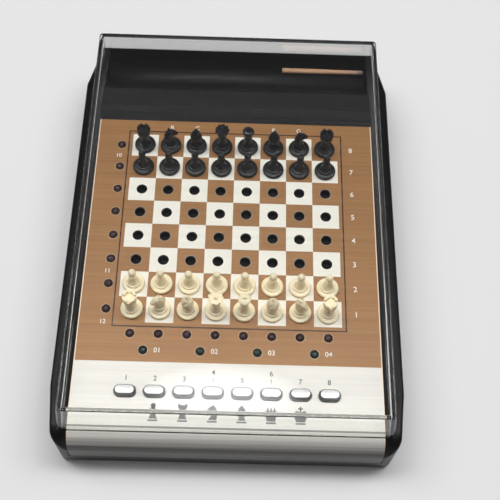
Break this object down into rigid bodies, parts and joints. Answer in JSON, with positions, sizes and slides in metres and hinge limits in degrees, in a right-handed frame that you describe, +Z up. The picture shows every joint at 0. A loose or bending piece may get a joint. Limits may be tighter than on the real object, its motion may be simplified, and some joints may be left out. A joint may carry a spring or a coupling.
{
  "type": "electronic chess computer",
  "caption": "Pocket chess computer with pegged pieces on a sensing board, lamps and pressing keys on a printed metal fascia, a piece tray and a clear lift-off cover.",
  "frame": {"origin": "on the table below the middle of the chess board", "axes": "+X to the player's right, +Y away from the player to the piece tray, +Z up"},
  "size_m": [0.134, 0.186, 0.0434],
  "materials": {
    "case_black": "moulded, fine texture",
    "fascia_aluminium": "brushed, printed brown, black and white",
    "guide_black": "moulded",
    "contact_film": "printed film",
    "board_laminate": "circuit board laminate",
    "chip_black": "moulded packages",
    "lamp_red": "tinted, unlit",
    "lamp_green": "tinted, unlit",
    "key_chrome": "plated caps",
    "buzzer_brass": "plain disc",
    "cell_sleeve": "plain sleeve",
    "contact_steel": "nickel-plated strip",
    "fitting_black": "moulded",
    "screw_steel": "zinc-plated",
    "foot_rubber": "matt",
    "cover_clear": "clear acrylic, polished",
    "stick_wood": "bare",
    "piece_ivory": "moulded, satin",
    "piece_black": "moulded, satin"
  },
  "bodies": {
    "case": {"batteries": "cell_sleeve", "battery_contacts": "contact_steel", "buzzer": "buzzer_brass", "circuit_chips": "chip_black", "contact_sheet": "contact_film", "fascia_plate": "fascia_aluminium", "green_leds": "lamp_green", "lower_case": "case_black", "main_board": "board_laminate", "peg_guide": "guide_black", "power_socket": "fitting_black", "power_switch": "fitting_black", "red_leds": "lamp_red", "rubber_feet": "foot_rubber", "screws": "screw_steel", "upper_case": "case_black"},
    "key_1": {"key_1": "key_chrome"},
    "key_2": {"key_2": "key_chrome"},
    "key_3": {"key_3": "key_chrome"},
    "key_4": {"key_4": "key_chrome"},
    "key_5": {"key_5": "key_chrome"},
    "key_6": {"key_6": "key_chrome"},
    "key_7": {"key_7": "key_chrome"},
    "key_8": {"key_8": "key_chrome"},
    "battery_door": {"battery_door": "case_black"},
    "power_knob": {"power_knob": "fitting_black"},
    "clear_cover": {"clear_cover": "cover_clear"},
    "wooden_stick": {"wooden_stick": "stick_wood"},
    "white_rook_a1": {"white_rook_a1": "piece_ivory"},
    "white_knight_b1": {"white_knight_b1": "piece_ivory"},
    "white_bishop_c1": {"white_bishop_c1": "piece_ivory"},
    "white_queen_d1": {"white_queen_d1": "piece_ivory"},
    "white_king_e1": {"white_king_e1": "piece_ivory"},
    "white_bishop_f1": {"white_bishop_f1": "piece_ivory"},
    "white_knight_g1": {"white_knight_g1": "piece_ivory"},
    "white_rook_h1": {"white_rook_h1": "piece_ivory"},
    "white_pawn_a2": {"white_pawn_a2": "piece_ivory"},
    "white_pawn_b2": {"white_pawn_b2": "piece_ivory"},
    "white_pawn_c2": {"white_pawn_c2": "piece_ivory"},
    "white_pawn_d2": {"white_pawn_d2": "piece_ivory"},
    "white_pawn_e2": {"white_pawn_e2": "piece_ivory"},
    "white_pawn_f2": {"white_pawn_f2": "piece_ivory"},
    "white_pawn_g2": {"white_pawn_g2": "piece_ivory"},
    "white_pawn_h2": {"white_pawn_h2": "piece_ivory"},
    "black_rook_a8": {"black_rook_a8": "piece_black"},
    "black_knight_b8": {"black_knight_b8": "piece_black"},
    "black_bishop_c8": {"black_bishop_c8": "piece_black"},
    "black_queen_d8": {"black_queen_d8": "piece_black"},
    "black_king_e8": {"black_king_e8": "piece_black"},
    "black_bishop_f8": {"black_bishop_f8": "piece_black"},
    "black_knight_g8": {"black_knight_g8": "piece_black"},
    "black_rook_h8": {"black_rook_h8": "piece_black"},
    "black_pawn_a7": {"black_pawn_a7": "piece_black"},
    "black_pawn_b7": {"black_pawn_b7": "piece_black"},
    "black_pawn_c7": {"black_pawn_c7": "piece_black"},
    "black_pawn_d7": {"black_pawn_d7": "piece_black"},
    "black_pawn_e7": {"black_pawn_e7": "piece_black"},
    "black_pawn_f7": {"black_pawn_f7": "piece_black"},
    "black_pawn_g7": {"black_pawn_g7": "piece_black"},
    "black_pawn_h7": {"black_pawn_h7": "piece_black"}
  },
  "joints": [
    {"name": "cover_lift", "type": "slide", "parent": "case", "child": "clear_cover", "axis": [0, 0, 1], "range_m": [0, 0.045]},
    {"name": "key_1_press", "type": "slide", "parent": "case", "child": "key_1", "axis": [0, 0, -1], "range_m": [0, 0.0008], "stiffness_N_per_m": 100, "springref_m": -0.0005},
    {"name": "key_2_press", "type": "slide", "parent": "case", "child": "key_2", "axis": [0, 0, -1], "range_m": [0, 0.0008], "stiffness_N_per_m": 100, "springref_m": -0.0005},
    {"name": "key_3_press", "type": "slide", "parent": "case", "child": "key_3", "axis": [0, 0, -1], "range_m": [0, 0.0008], "stiffness_N_per_m": 100, "springref_m": -0.0005},
    {"name": "key_4_press", "type": "slide", "parent": "case", "child": "key_4", "axis": [0, 0, -1], "range_m": [0, 0.0008], "stiffness_N_per_m": 100, "springref_m": -0.0005},
    {"name": "key_5_press", "type": "slide", "parent": "case", "child": "key_5", "axis": [0, 0, -1], "range_m": [0, 0.0008], "stiffness_N_per_m": 100, "springref_m": -0.0005},
    {"name": "key_6_press", "type": "slide", "parent": "case", "child": "key_6", "axis": [0, 0, -1], "range_m": [0, 0.0008], "stiffness_N_per_m": 100, "springref_m": -0.0005},
    {"name": "key_7_press", "type": "slide", "parent": "case", "child": "key_7", "axis": [0, 0, -1], "range_m": [0, 0.0008], "stiffness_N_per_m": 100, "springref_m": -0.0005},
    {"name": "key_8_press", "type": "slide", "parent": "case", "child": "key_8", "axis": [0, 0, -1], "range_m": [0, 0.0008], "stiffness_N_per_m": 100, "springref_m": -0.0005},
    {"name": "battery_door_slide", "type": "slide", "parent": "case", "child": "battery_door", "axis": [0, 1, 0], "range_m": [0, 0.06]},
    {"name": "power_knob_slide", "type": "slide", "parent": "case", "child": "power_knob", "axis": [1, 0, 0], "range_m": [0, 0.004]},
    {"name": "wooden_stick_lift", "type": "slide", "parent": "case", "child": "wooden_stick", "axis": [0, 0, 1], "range_m": [0, 0.009]},
    {"name": "white_rook_a1_lift", "type": "slide", "parent": "case", "child": "white_rook_a1", "axis": [0, 0, 1], "range_m": [0, 0.0027]},
    {"name": "white_knight_b1_lift", "type": "slide", "parent": "case", "child": "white_knight_b1", "axis": [0, 0, 1], "range_m": [0, 0.0023]},
    {"name": "white_bishop_c1_lift", "type": "slide", "parent": "case", "child": "white_bishop_c1", "axis": [0, 0, 1], "range_m": [0, 0.0019]},
    {"name": "white_queen_d1_lift", "type": "slide", "parent": "case", "child": "white_queen_d1", "axis": [0, 0, 1], "range_m": [0, 0.0017]},
    {"name": "white_king_e1_lift", "type": "slide", "parent": "case", "child": "white_king_e1", "axis": [0, 0, 1], "range_m": [0, 0.0009]},
    {"name": "white_bishop_f1_lift", "type": "slide", "parent": "case", "child": "white_bishop_f1", "axis": [0, 0, 1], "range_m": [0, 0.0019]},
    {"name": "white_knight_g1_lift", "type": "slide", "parent": "case", "child": "white_knight_g1", "axis": [0, 0, 1], "range_m": [0, 0.0023]},
    {"name": "white_rook_h1_lift", "type": "slide", "parent": "case", "child": "white_rook_h1", "axis": [0, 0, 1], "range_m": [0, 0.0027]},
    {"name": "white_pawn_a2_lift", "type": "slide", "parent": "case", "child": "white_pawn_a2", "axis": [0, 0, 1], "range_m": [0, 0.0037]},
    {"name": "white_pawn_b2_lift", "type": "slide", "parent": "case", "child": "white_pawn_b2", "axis": [0, 0, 1], "range_m": [0, 0.0037]},
    {"name": "white_pawn_c2_lift", "type": "slide", "parent": "case", "child": "white_pawn_c2", "axis": [0, 0, 1], "range_m": [0, 0.0037]},
    {"name": "white_pawn_d2_lift", "type": "slide", "parent": "case", "child": "white_pawn_d2", "axis": [0, 0, 1], "range_m": [0, 0.0037]},
    {"name": "white_pawn_e2_lift", "type": "slide", "parent": "case", "child": "white_pawn_e2", "axis": [0, 0, 1], "range_m": [0, 0.0037]},
    {"name": "white_pawn_f2_lift", "type": "slide", "parent": "case", "child": "white_pawn_f2", "axis": [0, 0, 1], "range_m": [0, 0.0037]},
    {"name": "white_pawn_g2_lift", "type": "slide", "parent": "case", "child": "white_pawn_g2", "axis": [0, 0, 1], "range_m": [0, 0.0037]},
    {"name": "white_pawn_h2_lift", "type": "slide", "parent": "case", "child": "white_pawn_h2", "axis": [0, 0, 1], "range_m": [0, 0.0037]},
    {"name": "black_rook_a8_lift", "type": "slide", "parent": "case", "child": "black_rook_a8", "axis": [0, 0, 1], "range_m": [0, 0.0027]},
    {"name": "black_knight_b8_lift", "type": "slide", "parent": "case", "child": "black_knight_b8", "axis": [0, 0, 1], "range_m": [0, 0.0023]},
    {"name": "black_bishop_c8_lift", "type": "slide", "parent": "case", "child": "black_bishop_c8", "axis": [0, 0, 1], "range_m": [0, 0.0019]},
    {"name": "black_queen_d8_lift", "type": "slide", "parent": "case", "child": "black_queen_d8", "axis": [0, 0, 1], "range_m": [0, 0.0017]},
    {"name": "black_king_e8_lift", "type": "slide", "parent": "case", "child": "black_king_e8", "axis": [0, 0, 1], "range_m": [0, 0.0009]},
    {"name": "black_bishop_f8_lift", "type": "slide", "parent": "case", "child": "black_bishop_f8", "axis": [0, 0, 1], "range_m": [0, 0.0019]},
    {"name": "black_knight_g8_lift", "type": "slide", "parent": "case", "child": "black_knight_g8", "axis": [0, 0, 1], "range_m": [0, 0.0023]},
    {"name": "black_rook_h8_lift", "type": "slide", "parent": "case", "child": "black_rook_h8", "axis": [0, 0, 1], "range_m": [0, 0.0027]},
    {"name": "black_pawn_a7_lift", "type": "slide", "parent": "case", "child": "black_pawn_a7", "axis": [0, 0, 1], "range_m": [0, 0.0037]},
    {"name": "black_pawn_b7_lift", "type": "slide", "parent": "case", "child": "black_pawn_b7", "axis": [0, 0, 1], "range_m": [0, 0.0037]},
    {"name": "black_pawn_c7_lift", "type": "slide", "parent": "case", "child": "black_pawn_c7", "axis": [0, 0, 1], "range_m": [0, 0.0037]},
    {"name": "black_pawn_d7_lift", "type": "slide", "parent": "case", "child": "black_pawn_d7", "axis": [0, 0, 1], "range_m": [0, 0.0037]},
    {"name": "black_pawn_e7_lift", "type": "slide", "parent": "case", "child": "black_pawn_e7", "axis": [0, 0, 1], "range_m": [0, 0.0037]},
    {"name": "black_pawn_f7_lift", "type": "slide", "parent": "case", "child": "black_pawn_f7", "axis": [0, 0, 1], "range_m": [0, 0.0037]},
    {"name": "black_pawn_g7_lift", "type": "slide", "parent": "case", "child": "black_pawn_g7", "axis": [0, 0, 1], "range_m": [0, 0.0037]},
    {"name": "black_pawn_h7_lift", "type": "slide", "parent": "case", "child": "black_pawn_h7", "axis": [0, 0, 1], "range_m": [0, 0.0037]}
  ]
}
